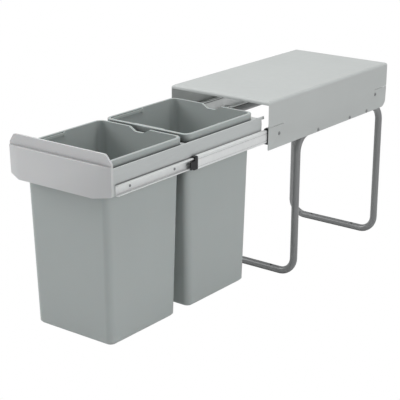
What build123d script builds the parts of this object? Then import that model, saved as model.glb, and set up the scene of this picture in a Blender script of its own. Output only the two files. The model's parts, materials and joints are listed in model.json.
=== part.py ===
from build123d import *
import math
import os

# A pull-out bin frame for a kitchen base cabinet, drawn with its drawer pulled right out.
# Millimetres. X is across the cabinet, +Y goes to its back and +Z is up. The origin is the
# centre of the four floor screws, on the floor. The drawer comes out towards -Y.

# Round tube of the two leg hoops
TUBE_DIAMETER = 16.0
TUBE_WALL = 1.5
FLOOR_BEND_RADIUS = 36.0
SHOULDER_BEND_RADIUS = 38.0
HOOP_JOINT_GAP = 0.4
SLEEVE_LENGTH = 40.0
SLEEVE_GAP = 0.15
FLOOR_SCREW_SPACING = 114.0
FLOOR_SCREW_HOLE = 5.5
TUBE_SIDES = 12
BORE_SIDES = 8
TUBE_FLAT_ANGLE = 22.5
SHEET_FLAT_ANGLE = 30.0

# Sheet cover
COVER_WIDTH = 250.0
COVER_DEPTH = 484.0
COVER_TOP_Z = 418.0
COVER_SHEET = 1.0
COVER_BEND_RADIUS = 6.0
COVER_SKIRT = 102.0
COVER_CREASE_DROP = 54.0
COVER_LEAN = 1.0
COVER_FRONT_OVERHANG = 124.0
COVER_BACK_OVERHANG = 10.0
COVER_FRONT_LIP = 8.0
COVER_BACK_LIP = 12.0
COVER_FRONT_CORNER = 3.0
COVER_BACK_CORNER = 18.0
SLIT_LENGTH = 54.0
SLIT_HEIGHT = 1.0
TUBE_SHOWING = 4.0
TUBE_TO_COVER_GAP = 0.2
SLIDE_TO_COVER_GAP = 0.05
SLIDE_TO_TUBE_GAP = 0.5

# Rivets: head diameter, head height, shank diameter and the clearance of a shank in its hole
COVER_RIVET_HEAD = 8.0
COVER_RIVET_SHANK = 4.0
SMALL_RIVET_HEAD = 5.0
SMALL_RIVET_SHANK = 3.0
RIVET_HEAD_HEIGHT = 1.2
RIVET_CLEARANCE = 0.1
RIVET_SEAT_GAP = 0.1
RIVET_SIDES = 6
COVER_RIVET_SHARES = (-0.61, 0.145, 0.57)
CABINET_RIVET_SETBACK = 39.0
CABINET_REAR_RIVET_SETBACK = 50.0
CABINET_REAR_RIVET_RISE = 7.0

# Telescopic slides: three nested channels, numbers measured from the cover's side inwards
SLIDE_DEPTH = 13.0
SLIDE_SHEET = 1.0
SLIDE_BEND_RADIUS = 1.6
SLIDE_LIP_BEND = 0.6
CABINET_MEMBER_HEIGHT = 33.0
CABINET_MEMBER_DEPTH = 10.3
CABINET_MEMBER_LIP = 2.1
CABINET_SETBACK = 6.0
CABINET_REAR_SETBACK = 13.0
MIDDLE_MEMBER_HEIGHT = 26.5
MIDDLE_MEMBER_SHORTER = 29.0
MIDDLE_MEMBER_LIP = 1.7
MIDDLE_WEB_DEPTH = 2.3
MIDDLE_RIM_DEPTH = 11.0
DRAWER_MEMBER_HEIGHT = 20.0
DRAWER_MEMBER_SHORTER = 12.0
DRAWER_MEMBER_LIP = 2.0
DRAWER_RIM_DEPTH = 5.0
DRAWER_RIVET_SHARES = (0.086, 0.368, 0.86)
DRAWER_SLOT_SHARE = 0.454
MIDDLE_GROOVE_INSET = 5.8
MIDDLE_GROOVE_WIDTH = 1.6
MIDDLE_GROOVE_DEPTH = 0.5
END_CAP_LENGTH = 21.5
END_CAP_WALL = 2.2
END_CAP_TONGUE = 12.5
END_CAP_TONGUE_TOP = 8.0
END_CAP_TONGUE_FOOT = 3.0
FRONT_GUIDE_LENGTH = 5.3
FRONT_GUIDE_CLEARANCE = 0.4
BUMPER_LENGTH = 4.2
BUMPER_GAP = 0.8
BUMPER_CLEARANCE = 0.3
TRAVEL_LONGER = 5.0
MIDDLE_TRAVEL_SHARE = 0.552
CLOSED_CAP_SETBACK = 1.0

# Ball cages between the members
CAGE_SHEET = 0.5
CAGE_BEND_RADIUS = 1.2
CAGE_WEB_GAP = 0.4
OUTER_CAGE_END_GAP = 7.0
OUTER_CAGE_RIM_DEPTH = 9.0
OUTER_BALL_DEPTH = 6.0
INNER_CAGE_END_GAP = 11.0
INNER_CAGE_RIM_DEPTH = 10.2
INNER_BALL_DEPTH = 8.0
BALL_CLEARANCE = 0.125
BALLS_PER_ROW = 4
POCKET_CLEARANCE = 0.15
CAGE_END_MARGIN = 12.0

# Drawer side rails, folded sheet
RAIL_SHEET = 1.2
RAIL_BEND_RADIUS = 1.5
RAIL_HEM_RADIUS = 0.9
RAIL_CREASE_RADIUS = 3.0
RAIL_STEP_RADIUS = 0.9
RAIL_LEDGE = 9.0
RAIL_LEDGE_DROP = 3.0
RAIL_HEM_WIDTH = 3.2
RAIL_BAND = 30.2
RAIL_CREASE_DROP = 14.0
RAIL_HEAD_PROUD = 0.2
RAIL_CREASE_PROUD = 1.4
RAIL_FOOT_PROUD = 0.9
RAIL_STEP_DROP = 1.2
RAIL_STEP_GAP = 0.8
RAIL_FOOT = 1.0
RAIL_RETURN = 6.0
RAIL_FRONT_REACH = 4.0
RAIL_REAR_GAP = 6.2
RAIL_TONGUE = 9.5
RAIL_NOTCH_GAP = 9.0
RAIL_SLOT_LENGTH = 9.0
RAIL_SLOT_WIDTH = 4.5

# Cross members of the drawer, folded sheet
CROSS_SHEET = 1.2
CROSS_BEND_RADIUS = 1.5
CROSS_END_GAP = 1.0
FRONT_CROSS_HEIGHT = 34.0
FRONT_CROSS_FLANGE = 9.0
MIDDLE_CROSS_WIDTH = 14.0
MIDDLE_CROSS_HEIGHT = 18.0
REAR_CROSS_HEIGHT = 36.0
REAR_CROSS_LIP = 10.0
REAR_CROSS_WIDTH = 21.6
REAR_CROSS_SETBACK = 2.0
RAIL_RIVET_INSET = 6.2

# Bins
BIN_FLOOR_GAP = 40.0
BIN_WALL = 2.0
BIN_RIM_SEAT = 2.1
BIN_RIM_SHEET = 1.6
BIN_RIM_OVERHANG = 3.8
BIN_RIM_SKIRT = 14.8
BIN_RIM_RADIUS = 16.0
BIN_RIM_EDGE = 1.0
BIN_SIDE_DRAFT = 5.9
BIN_FRONT_DRAFT = 13.2
BIN_REAR_DRAFT = 7.2
BIN_CORNER_RADIUS = 14.0
BIN_FOOT_BEVEL = 4.0
BIN_FOOT_RADIUS = 5.0
BIN_FOOT_RECESS = 1.0
BIN_FOOT_MARGIN = 14.0
BIN_SEAT_GAP = 0.2
BIN_FRONT_GAP = 3.0
BIN_BETWEEN_GAP = 12.0
BIN_OVER_CROSS = 1.6
NOTCH_WIDTH = 50.0
NOTCH_FLOOR = 20.0
NOTCH_DEPTH = 8.5
NOTCH_RADIUS = 6.0

# Bail handles
BAIL_PIN_DIAMETER = 4.0
BAIL_PIN_CLEARANCE = 0.08
BAIL_PIN_LENGTH = 4.0
BAIL_PIN_SIDES = 12
BAIL_SHEET = 2.5
BAIL_HEIGHT = 5.0
BAIL_EYE = 8.5
BAIL_DROP = 4.8
BAIL_GAP = 0.35
BAIL_END_GAP = 2.0
BAIL_RADIUS = 12.0
BAIL_GRIP_LENGTH = 76.0
BAIL_GRIP_DEPTH = 7.0
BAIL_GRIP_RADIUS = 2.5

# Moulded front
FASCIA_WALL = 2.5
FASCIA_WIDTH = 245.0
FASCIA_HEIGHT = 81.0
FASCIA_ABOVE_RAIL = 31.0
FASCIA_TIP_RISE = 3.5
FASCIA_LEDGE_DROP = 22.0
FASCIA_TO_SLIDE = 18.0
FASCIA_SIDE_DEPTH = 6.0
FASCIA_RAISE = 11.0
FASCIA_FACE_LEAN = 2.0
FASCIA_LEDGE_DEPTH = 12.0
FASCIA_LIP_LEAN = 3.0
FASCIA_LIP_DEPTH = 5.0
FASCIA_FACE_TOP_WIDTH = 184.0
FASCIA_FACE_BOTTOM_WIDTH = 156.0
FASCIA_SHOULDER_WIDTH = 220.0
FASCIA_SHOULDER_DROP = 17.0
FASCIA_CORNER_RADIUS = 7.0
FASCIA_TIP_RADIUS = 4.0
FASCIA_EDGE_RADIUS = 1.2
FASCIA_RIB_SHEET = 1.6
FASCIA_RIB_DEPTH = 5.0
FASCIA_RIB_PITCH = 55.0
FASCIA_BOSS_DIAMETER = 9.0
FASCIA_SCREW_SPACINGS = (55.0, 165.0)
FASCIA_SCREW_DROP = 19.0
FASCIA_SCREW_SHANK = 3.9
FASCIA_SCREW_HEAD = 8.0
FASCIA_SCREW_HEAD_HEIGHT = 2.2
FASCIA_SCREW_GRIP = 8.0

OVERRUN = 5.0

# Places worked out from the sizes above
tube_radius = TUBE_DIAMETER / 2
cover_bottom_z = COVER_TOP_Z - COVER_SKIRT
cover_crease_z = COVER_TOP_Z - COVER_CREASE_DROP
leg_spacing = COVER_DEPTH - COVER_FRONT_OVERHANG - COVER_BACK_OVERHANG
cover_front_y = -leg_spacing / 2 - COVER_FRONT_OVERHANG
cover_back_y = cover_front_y + COVER_DEPTH
top_run_z = cover_bottom_z - TUBE_SHOWING + tube_radius


def cover_inner_x(z):
    """Inside of the cover's side at a height under the crease."""
    lean = COVER_LEAN * (cover_crease_z - z) / (cover_crease_z - cover_bottom_z)
    return COVER_WIDTH / 2 - lean - COVER_SHEET


leg_x = cover_inner_x(top_run_z) - TUBE_TO_COVER_GAP - tube_radius
slide_z = top_run_z + tube_radius + SLIDE_TO_TUBE_GAP + CABINET_MEMBER_HEIGHT / 2
slide_foot_z = slide_z - CABINET_MEMBER_HEIGHT / 2
slide_outer_x = cover_inner_x(slide_foot_z) - SLIDE_TO_COVER_GAP
slide_inner_x = slide_outer_x - SLIDE_DEPTH

cabinet_front_y = cover_front_y + CABINET_SETBACK
cabinet_rear_y = cover_back_y - CABINET_REAR_SETBACK
cabinet_length = cabinet_rear_y - cabinet_front_y
travel = cabinet_length + TRAVEL_LONGER
drawer_member_length = cabinet_length - DRAWER_MEMBER_SHORTER
drawer_member_rear_y = cabinet_rear_y - BUMPER_LENGTH - BUMPER_GAP - travel
drawer_member_front_y = drawer_member_rear_y - drawer_member_length
cap_front_y = cabinet_front_y + CLOSED_CAP_SETBACK - MIDDLE_TRAVEL_SHARE * travel
middle_front_y = cap_front_y + END_CAP_LENGTH
middle_rear_y = middle_front_y + cabinet_length - MIDDLE_MEMBER_SHORTER
outer_cage_y = (cabinet_front_y + middle_rear_y) / 2
outer_cage_length = middle_rear_y - cabinet_front_y - 2 * OUTER_CAGE_END_GAP
inner_cage_y = (middle_front_y + drawer_member_rear_y) / 2
inner_cage_length = drawer_member_rear_y - middle_front_y - 2 * INNER_CAGE_END_GAP

rail_step_z = slide_z + DRAWER_MEMBER_HEIGHT / 2 + RAIL_STEP_GAP
rail_top_z = rail_step_z + RAIL_BAND
rail_ledge_z = rail_top_z - RAIL_LEDGE_DROP
rail_foot_z = slide_z - DRAWER_MEMBER_HEIGHT / 2 - RAIL_FOOT
rail_head_x = slide_inner_x + RAIL_HEAD_PROUD
rail_ledge_x = rail_head_x - RAIL_LEDGE

fascia_rear_y = drawer_member_front_y - FASCIA_TO_SLIDE
rail_front_y = fascia_rear_y - RAIL_FRONT_REACH
rail_rear_y = cover_front_y - RAIL_REAR_GAP
cross_top_z = rail_ledge_z - RAIL_SHEET
cross_half = rail_head_x - RAIL_SHEET - CROSS_END_GAP

rear_cross_back_y = cover_front_y - REAR_CROSS_SETBACK
rear_cross_front_y = rear_cross_back_y - REAR_CROSS_WIDTH
bins_front_y = fascia_rear_y + BIN_FRONT_GAP
bins_back_y = rear_cross_front_y + BIN_OVER_CROSS
bin_rim_length = (bins_back_y - bins_front_y - BIN_BETWEEN_GAP) / 2
bin_rim_half = rail_ledge_x + BIN_RIM_SEAT
bin_top_z = rail_ledge_z + BIN_SEAT_GAP + BIN_RIM_SKIRT
bin_bottom_z = BIN_FLOOR_GAP
bin_height = bin_top_z - bin_bottom_z
front_bin_y = bins_front_y + bin_rim_length / 2
rear_bin_y = bins_back_y - bin_rim_length / 2
bail_z = bin_top_z - BAIL_DROP
rail_rivet_x = rail_head_x - RAIL_RIVET_INSET


def along_x(section, left, right):
    """Solid with a (y, z) section between two places on X."""
    plane = Plane(origin=(left, 0, 0), x_dir=(0, 1, 0), z_dir=(1, 0, 0))
    return extrude(plane * section, amount=right - left)


def along_y(section, front, back):
    """Solid with an (x, z) section between two places on Y."""
    plane = Plane(origin=(0, back, 0), x_dir=(1, 0, 0), z_dir=(0, -1, 0))
    return extrude(plane * section, amount=back - front)


def along_z(section, bottom, top):
    """Solid with an (x, y) section between two heights."""
    return extrude(Plane.XY.offset(bottom) * section, amount=top - bottom)


def disc(u, v, diameter):
    """Round section for a bore or a shank."""
    return Pos(u, v) * Circle(diameter / 2)


def block(low, high):
    """Rectangular section between two corners."""
    return Pos((low[0] + high[0]) / 2, (low[1] + high[1]) / 2) * Rectangle(
        abs(high[0] - low[0]), abs(high[1] - low[1])
    )


def flat_sided(radius, sides):
    """Round section drawn with a few flats, one of them on each axis."""
    return RegularPolygon(radius, sides, major_radius=False, rotation=180 / sides)


def rivet_hole(u, v, shank):
    """Hole for a rivet, with a few flats like the rivet itself."""
    return Pos(u, v) * flat_sided(shank / 2 + RIVET_CLEARANCE, RIVET_SIDES)


def polygon(points):
    """Flat section with straight sides."""
    return make_face(Polyline(*points, close=True))


def flattened(smooth, flat_angle):
    """Points of a path whose bends are drawn with a few flats."""
    points = [smooth @ 0]
    for edge in smooth.edges():
        turn = (edge % 0).get_angle(edge % 1)
        flats = max(1, round(turn / flat_angle))
        points += [edge @ ((i + 1) / flats) for i in range(flats)]
    return points


def folded(points, radii, sheet):
    """Section of a folded sheet whose middle runs along the points."""
    path = flattened(FilletPolyline(*points, radius=radii), SHEET_FLAT_ANGLE)
    runs = [(end - start).normalized() for start, end in zip(path, path[1:])]
    squares = [Vector(-run.Y, run.X) for run in runs]
    mitres = [(a + b) / (1 + a.dot(b)) for a, b in zip(squares, squares[1:])]
    mitres = [squares[0]] + mitres + [squares[-1]]
    near = [point + mitre * sheet / 2 for point, mitre in zip(path, mitres)]
    far = [point - mitre * sheet / 2 for point, mitre in zip(path, mitres)]
    return polygon(near + far[::-1])


def mirrored(part):
    """The same piece on the left side."""
    return mirror(part, about=Plane.YZ)


def both_sides(parts):
    """Pieces on the right side, with their twins on the left."""
    right = list(parts)
    return right + [mirrored(part) for part in right]


# Leg hoops and their sleeves


def leg_hoop(side):
    """One hoop of tube: -1 is the front one and +1 the rear one."""
    leg_y = side * leg_spacing / 2
    end_y = side * HOOP_JOINT_GAP / 2
    corners = [
        (-leg_x, end_y, top_run_z),
        (-leg_x, leg_y, top_run_z),
        (-leg_x, leg_y, tube_radius),
        (leg_x, leg_y, tube_radius),
        (leg_x, leg_y, top_run_z),
        (leg_x, end_y, top_run_z),
    ]
    bends = [SHOULDER_BEND_RADIUS, FLOOR_BEND_RADIUS, FLOOR_BEND_RADIUS, SHOULDER_BEND_RADIUS]
    path = Polyline(*flattened(FilletPolyline(*corners, radius=bends), TUBE_FLAT_ANGLE))
    start = Plane(origin=path @ 0, x_dir=(1, 0, 0), z_dir=path % 0)
    tube = sweep(start * flat_sided(tube_radius, TUBE_SIDES), path=path, transition=Transition.RIGHT)
    bore = flat_sided(tube_radius - TUBE_WALL, BORE_SIDES)
    tube -= sweep(start * bore, path=path, transition=Transition.RIGHT)
    for x in (-FLOOR_SCREW_SPACING / 2, FLOOR_SCREW_SPACING / 2):
        tube -= along_z(disc(x, leg_y, FLOOR_SCREW_HOLE), -OVERRUN, TUBE_DIAMETER + OVERRUN)
    for y in cover_rivet_places():
        if y * side > 0:
            hole = rivet_hole(y, top_run_z, COVER_RIVET_SHANK)
            right = along_x(hole, leg_x, leg_x + tube_radius + OVERRUN)
            tube = tube - right - mirrored(right)
    return tube


def leg_joint_sleeves():
    """Short inner tubes that line up the hoops' ends under the cover."""
    radius = tube_radius - TUBE_WALL - SLEEVE_GAP
    ring = flat_sided(radius, BORE_SIDES) - flat_sided(radius - TUBE_WALL, BORE_SIDES)
    section = Pos(leg_x, top_run_z) * ring
    return both_sides([along_y(section, -SLEEVE_LENGTH / 2, SLEEVE_LENGTH / 2)])


# Cover and its rivets


def cover_rivet_places():
    """Places on Y of the rivets between the cover and the tube."""
    return [share * leg_spacing / 2 for share in COVER_RIVET_SHARES]


def cabinet_rivet_places():
    """Places (y, z) of the rivets between the cover and the slide."""
    front = (cabinet_front_y + CABINET_RIVET_SETBACK - CABINET_SETBACK, slide_z)
    rear = (cover_back_y - CABINET_REAR_RIVET_SETBACK, slide_z + CABINET_REAR_RIVET_RISE)
    return [front, rear]


def cover_section(inset, top_z):
    """Outline of the cover, or of its inside, up to a height."""
    half = COVER_WIDTH / 2 - inset
    right = [
        (half - COVER_LEAN, cover_bottom_z),
        (half, cover_crease_z),
        (half, top_z),
    ]
    left = [(-x, z) for x, z in reversed(right)]
    return polygon(right + left)


def cover_block(inset):
    """The cover as a full block, or the space inside it."""
    section = cover_section(inset, COVER_TOP_Z - inset)
    solid = along_y(section, cover_front_y + inset, cover_back_y - inset)
    top_edges = solid.faces().sort_by(Axis.Z)[-1].edges()
    return fillet(top_edges, COVER_BEND_RADIUS - inset)


def cover_hood():
    """Folded cover: top, leaning sides, front and back lips, slits, holes."""
    hood = cover_block(0) - cover_block(COVER_SHEET)
    mouth = cover_section(COVER_SHEET, COVER_TOP_Z - COVER_FRONT_LIP)
    hood -= along_y(mouth, cover_front_y - OVERRUN, cover_front_y + 2 * COVER_SHEET)
    rear = cover_section(COVER_SHEET, COVER_TOP_Z - COVER_BACK_LIP)
    hood -= along_y(rear, cover_back_y - 2 * COVER_SHEET, cover_back_y + OVERRUN)
    half = COVER_WIDTH / 2 + OVERRUN
    for low, high in (
        (cover_front_y - OVERRUN, cover_front_y + SLIT_LENGTH),
        (cover_back_y - SLIT_LENGTH, cover_back_y + OVERRUN),
    ):
        slit = block((low, cover_crease_z - SLIT_HEIGHT), (high, cover_crease_z))
        hood -= along_x(slit, -half, half)
    for y in cover_rivet_places():
        hood -= along_x(rivet_hole(y, top_run_z, COVER_RIVET_SHANK), -half, half)
    for y, z in cabinet_rivet_places():
        hood -= along_x(rivet_hole(y, z, COVER_RIVET_SHANK), -half, half)
    corners = hood.edges().filter_by(Axis.X).group_by(Axis.Z)[0].group_by(Axis.Y)
    hood = fillet(corners[-1], COVER_BACK_CORNER)
    corners = hood.edges().filter_by(Axis.X).group_by(Axis.Z)[0].group_by(Axis.Y)
    return fillet(corners[0], COVER_FRONT_CORNER)


def rivet(head, shank, grip):
    """Rivet along +Z: head above zero and shank below it."""
    head_part = along_z(flat_sided(head / 2, RIVET_SIDES), 0, RIVET_HEAD_HEIGHT)
    return head_part + along_z(flat_sided(shank / 2, RIVET_SIDES), -grip, 0)


def facing(x, y, z, direction):
    """Frame whose +Z points along a direction, for placing a rivet."""
    return Plane(origin=(x, y, z), x_dir=(0, 1, 0), z_dir=direction)


def cover_rivets():
    """Rivets through the cover's sides into the top runs."""
    head_x = cover_inner_x(top_run_z) + COVER_SHEET + RIVET_SEAT_GAP
    grip = head_x - (leg_x + tube_radius - TUBE_WALL)
    body = rivet(COVER_RIVET_HEAD, COVER_RIVET_SHANK, grip)
    return both_sides(
        facing(head_x, y, top_run_z, (1, 0, 0)) * body for y in cover_rivet_places()
    )


def cabinet_member_rivets():
    """Rivets through the cover into the slides, flush on the inside."""
    rivets = []
    for y, z in cabinet_rivet_places():
        head_x = cover_inner_x(z) + COVER_SHEET + RIVET_SEAT_GAP
        body = rivet(COVER_RIVET_HEAD, COVER_RIVET_SHANK, head_x - slide_outer_x + SLIDE_SHEET)
        rivets.append(facing(head_x, y, z, (1, 0, 0)) * body)
    return both_sides(rivets)


# Telescopic slides, right side


def slide_x(depth):
    """Place on X of a depth measured from the slide's outer face."""
    return slide_outer_x - depth


def channel_section(web, rim, height, lip, sheet, bend, lip_bend):
    """C section with its web at one depth and its lips at another."""
    towards = 1 if rim > web else -1
    web_x = slide_x(web + towards * sheet / 2)
    rim_x = slide_x(rim - towards * sheet / 2)
    top = slide_z + height / 2 - sheet / 2
    foot = slide_z - height / 2 + sheet / 2
    inner_lip = lip - sheet / 2
    points = [
        (rim_x, top - inner_lip),
        (rim_x, top),
        (web_x, top),
        (web_x, foot),
        (rim_x, foot),
        (rim_x, foot + inner_lip),
    ]
    return folded(points, [lip_bend, bend, bend, lip_bend], sheet)


def cabinet_member():
    """Outer channel, riveted to the cover."""
    section = channel_section(
        0, CABINET_MEMBER_DEPTH, CABINET_MEMBER_HEIGHT, CABINET_MEMBER_LIP,
        SLIDE_SHEET, SLIDE_BEND_RADIUS, SLIDE_LIP_BEND,
    )
    member = along_y(section, cabinet_front_y, cabinet_rear_y)
    for y, z in cabinet_rivet_places():
        hole = rivet_hole(y, z, COVER_RIVET_SHANK)
        member -= along_x(hole, slide_x(2 * SLIDE_SHEET), slide_x(-SLIDE_SHEET))
    return member


def middle_member():
    """Middle channel, which runs in the outer one."""
    section = channel_section(
        MIDDLE_WEB_DEPTH, MIDDLE_RIM_DEPTH, MIDDLE_MEMBER_HEIGHT, MIDDLE_MEMBER_LIP,
        SLIDE_SHEET, SLIDE_BEND_RADIUS, SLIDE_LIP_BEND,
    )
    member = along_y(section, middle_front_y, middle_rear_y)
    outer_x = slide_x(MIDDLE_WEB_DEPTH)
    for side in (-1, 1):
        z = slide_z + side * (MIDDLE_MEMBER_HEIGHT / 2 - MIDDLE_GROOVE_INSET)
        low = (outer_x - MIDDLE_GROOVE_DEPTH, z - MIDDLE_GROOVE_WIDTH / 2)
        high = (outer_x + MIDDLE_GROOVE_DEPTH, z + MIDDLE_GROOVE_WIDTH / 2)
        member -= along_y(block(low, high), middle_front_y - OVERRUN, middle_rear_y + OVERRUN)
    return member


def middle_end_cap():
    """Plastic guide on the front end of the middle channel, with a tongue at its front."""
    outer_x, inner_x = slide_x(MIDDLE_WEB_DEPTH), slide_x(MIDDLE_RIM_DEPTH)
    half = MIDDLE_MEMBER_HEIGHT / 2
    outer = block((inner_x, slide_z - half), (outer_x, slide_z + half))
    outer = chamfer(outer.vertices(), SLIDE_BEND_RADIUS)
    room = half - END_CAP_WALL
    inner = block((inner_x - END_CAP_WALL, slide_z - room), (outer_x - END_CAP_WALL, slide_z + room))
    tongue_y = cap_front_y + END_CAP_TONGUE
    tongue = block(
        (outer_x - END_CAP_WALL, slide_z - half + END_CAP_TONGUE_FOOT),
        (outer_x, slide_z + half - END_CAP_TONGUE_TOP),
    )
    guide = along_y(outer - inner, tongue_y, middle_front_y)
    return guide + along_y(tongue, cap_front_y, tongue_y)


def drawer_rivet_places():
    """Places on Y of the rivets between the drawer member and the rail."""
    return [drawer_member_front_y + share * drawer_member_length for share in DRAWER_RIVET_SHARES]


def drawer_member():
    """Inner channel, riveted to the drawer's rail."""
    section = channel_section(
        SLIDE_DEPTH, DRAWER_RIM_DEPTH, DRAWER_MEMBER_HEIGHT, DRAWER_MEMBER_LIP,
        SLIDE_SHEET, SLIDE_BEND_RADIUS, SLIDE_LIP_BEND,
    )
    member = along_y(section, drawer_member_front_y, drawer_member_rear_y)
    near, far = slide_inner_x - SLIDE_SHEET, slide_inner_x + 2 * SLIDE_SHEET
    for y in drawer_rivet_places():
        member -= along_x(rivet_hole(y, slide_z, SMALL_RIVET_SHANK), near, far)
    slot_y = drawer_member_front_y + DRAWER_SLOT_SHARE * drawer_member_length
    slot = Pos(slot_y, slide_z) * SlotOverall(RAIL_SLOT_LENGTH, RAIL_SLOT_WIDTH)
    return member - along_x(slot, near, far)


def drawer_member_rivets():
    """Rivets through the drawer member and the rail's lower flange."""
    head_x = slide_inner_x + SLIDE_SHEET + RIVET_SEAT_GAP
    body = rivet(SMALL_RIVET_HEAD, SMALL_RIVET_SHANK, SLIDE_SHEET + RAIL_SHEET + 2 * RIVET_SEAT_GAP)
    return both_sides(
        facing(head_x, y, slide_z, (1, 0, 0)) * body for y in drawer_rivet_places()
    )


def slide_front_guides():
    """Plastic collars on the front ends of the outer channels, round the middle ones."""
    half = CABINET_MEMBER_HEIGHT / 2
    inner_x = slide_x(CABINET_MEMBER_DEPTH)
    outer = block((inner_x, slide_z - half), (slide_outer_x, slide_z + half))
    outer = chamfer(outer.vertices(), SLIDE_BEND_RADIUS)
    room = MIDDLE_MEMBER_HEIGHT / 2 + FRONT_GUIDE_CLEARANCE
    wall_x = slide_x(MIDDLE_WEB_DEPTH) + FRONT_GUIDE_CLEARANCE
    inner = block((inner_x - OVERRUN, slide_z - room), (wall_x, slide_z + room))
    return both_sides([along_y(outer - inner, cabinet_front_y - FRONT_GUIDE_LENGTH, cabinet_front_y)])


def slide_end_bumpers():
    """Plastic stops in the back ends of the outer channels."""
    half = CABINET_MEMBER_HEIGHT / 2 - SLIDE_SHEET - BUMPER_CLEARANCE
    outer = slide_x(SLIDE_SHEET + BUMPER_CLEARANCE)
    inner = slide_x(CABINET_MEMBER_DEPTH - SLIDE_SHEET - BUMPER_CLEARANCE)
    corners = block((inner, slide_z - half), (outer, slide_z + half))
    section = chamfer(corners.vertices(), SLIDE_BEND_RADIUS)
    return both_sides([along_y(section, cabinet_rear_y - BUMPER_LENGTH, cabinet_rear_y)])


# Ball cages and balls, right side


def race_height(outer_height, inner_height):
    """Height above the slide's middle of a ball row between two members."""
    return (outer_height / 2 - SLIDE_SHEET + inner_height / 2) / 2


def ball_size(outer_height, inner_height):
    """Diameter of the balls between two members."""
    return outer_height / 2 - SLIDE_SHEET - inner_height / 2 - 2 * BALL_CLEARANCE


outer_race = race_height(CABINET_MEMBER_HEIGHT, MIDDLE_MEMBER_HEIGHT)
inner_race = race_height(MIDDLE_MEMBER_HEIGHT, DRAWER_MEMBER_HEIGHT)
outer_ball = ball_size(CABINET_MEMBER_HEIGHT, MIDDLE_MEMBER_HEIGHT)
inner_ball = ball_size(MIDDLE_MEMBER_HEIGHT, DRAWER_MEMBER_HEIGHT)


def ball_places(middle_y, length):
    """Places on Y of the balls of one row."""
    reach = length / 2 - CAGE_END_MARGIN
    step = 2 * reach / (BALLS_PER_ROW - 1)
    return [middle_y - reach + i * step for i in range(BALLS_PER_ROW)]


def ball_cage(middle_y, length, web, rim, race, ball, ball_depth):
    """Strip that keeps two rows of balls apart, with a pocket for each ball."""
    web_x = slide_x(web + CAGE_SHEET / 2)
    rim_x = slide_x(rim)
    points = [
        (rim_x, slide_z + race),
        (web_x, slide_z + race),
        (web_x, slide_z - race),
        (rim_x, slide_z - race),
    ]
    section = folded(points, [CAGE_BEND_RADIUS, CAGE_BEND_RADIUS], CAGE_SHEET)
    cage = along_y(section, middle_y - length / 2, middle_y + length / 2)
    pocket = Rectangle(ball + 2 * POCKET_CLEARANCE, ball + 2 * POCKET_CLEARANCE)
    reach = race + ball
    for y in ball_places(middle_y, length):
        hole = Pos(slide_x(ball_depth), y) * pocket
        cage -= along_z(hole, slide_z - reach, slide_z + reach)
    return cage


def balls(middle_y, length, race, ball, ball_depth):
    """Two rows of balls, each with a few flat faces for a round form."""
    flat = ball * (1 - (math.sqrt(2) - 1)) / 2
    one = Box(ball, ball, ball)
    one = chamfer(one.edges(), flat)
    return [
        Pos(slide_x(ball_depth), y, slide_z + side * race) * one
        for y in ball_places(middle_y, length)
        for side in (-1, 1)
    ]


def outer_cage():
    return ball_cage(
        outer_cage_y, outer_cage_length, SLIDE_SHEET + CAGE_WEB_GAP, OUTER_CAGE_RIM_DEPTH,
        outer_race, outer_ball, OUTER_BALL_DEPTH,
    )


def outer_balls():
    return balls(outer_cage_y, outer_cage_length, outer_race, outer_ball, OUTER_BALL_DEPTH)


def inner_cage():
    web = MIDDLE_WEB_DEPTH + SLIDE_SHEET + CAGE_WEB_GAP
    return ball_cage(
        inner_cage_y, inner_cage_length, web, INNER_CAGE_RIM_DEPTH,
        inner_race, inner_ball, INNER_BALL_DEPTH,
    )


def inner_balls():
    return balls(inner_cage_y, inner_cage_length, inner_race, inner_ball, INNER_BALL_DEPTH)


# Drawer rails and cross members


def side_rail():
    """Folded rail: sunk ledge for the bins, hem, creased band, step, flange for the slide."""
    half = RAIL_SHEET / 2
    hem_x = rail_head_x - RAIL_HEM_WIDTH + half
    points = [
        (rail_ledge_x, rail_ledge_z - half),
        (hem_x, rail_ledge_z - half),
        (hem_x, rail_top_z - half),
        (rail_head_x - half, rail_top_z - half),
        (slide_inner_x + RAIL_CREASE_PROUD - half, rail_top_z - RAIL_CREASE_DROP),
        (slide_inner_x + RAIL_FOOT_PROUD - half, rail_step_z + RAIL_STEP_DROP),
        (slide_inner_x - half, rail_step_z),
        (slide_inner_x - half, rail_foot_z + half),
        (slide_inner_x - half - RAIL_RETURN, rail_foot_z + half),
    ]
    radii = [
        RAIL_HEM_RADIUS, RAIL_HEM_RADIUS, RAIL_HEM_RADIUS, RAIL_CREASE_RADIUS, RAIL_STEP_RADIUS,
        RAIL_STEP_RADIUS, RAIL_BEND_RADIUS,
    ]
    section = folded(points, radii, RAIL_SHEET)
    rail = along_y(section, rail_front_y, rail_rear_y + RAIL_TONGUE)
    inside, outside = rail_ledge_x - OVERRUN, slide_inner_x + OVERRUN
    tongue_z = rail_ledge_z - RAIL_SHEET - RAIL_BEND_RADIUS
    below = block((rail_rear_y, rail_foot_z - OVERRUN), (rail_rear_y + 2 * RAIL_TONGUE, tongue_z))
    rail -= along_x(below, inside, outside)
    front = block(
        (rail_front_y - OVERRUN, rail_foot_z - OVERRUN), (fascia_rear_y + RAIL_NOTCH_GAP, rail_step_z)
    )
    rail -= along_x(front, inside, outside)
    for y in drawer_rivet_places():
        hole = rivet_hole(y, slide_z, SMALL_RIVET_SHANK)
        rail -= along_x(hole, slide_inner_x - 2 * RAIL_SHEET, slide_inner_x + RAIL_SHEET)
    for y in rail_rivet_places():
        hole = rivet_hole(rail_rivet_x, y, SMALL_RIVET_SHANK)
        rail -= along_z(hole, rail_ledge_z - 2 * RAIL_SHEET, rail_ledge_z + RAIL_SHEET)
    return rail


front_cross_y = rail_front_y
middle_cross_y = (front_bin_y + rear_bin_y) / 2


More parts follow.
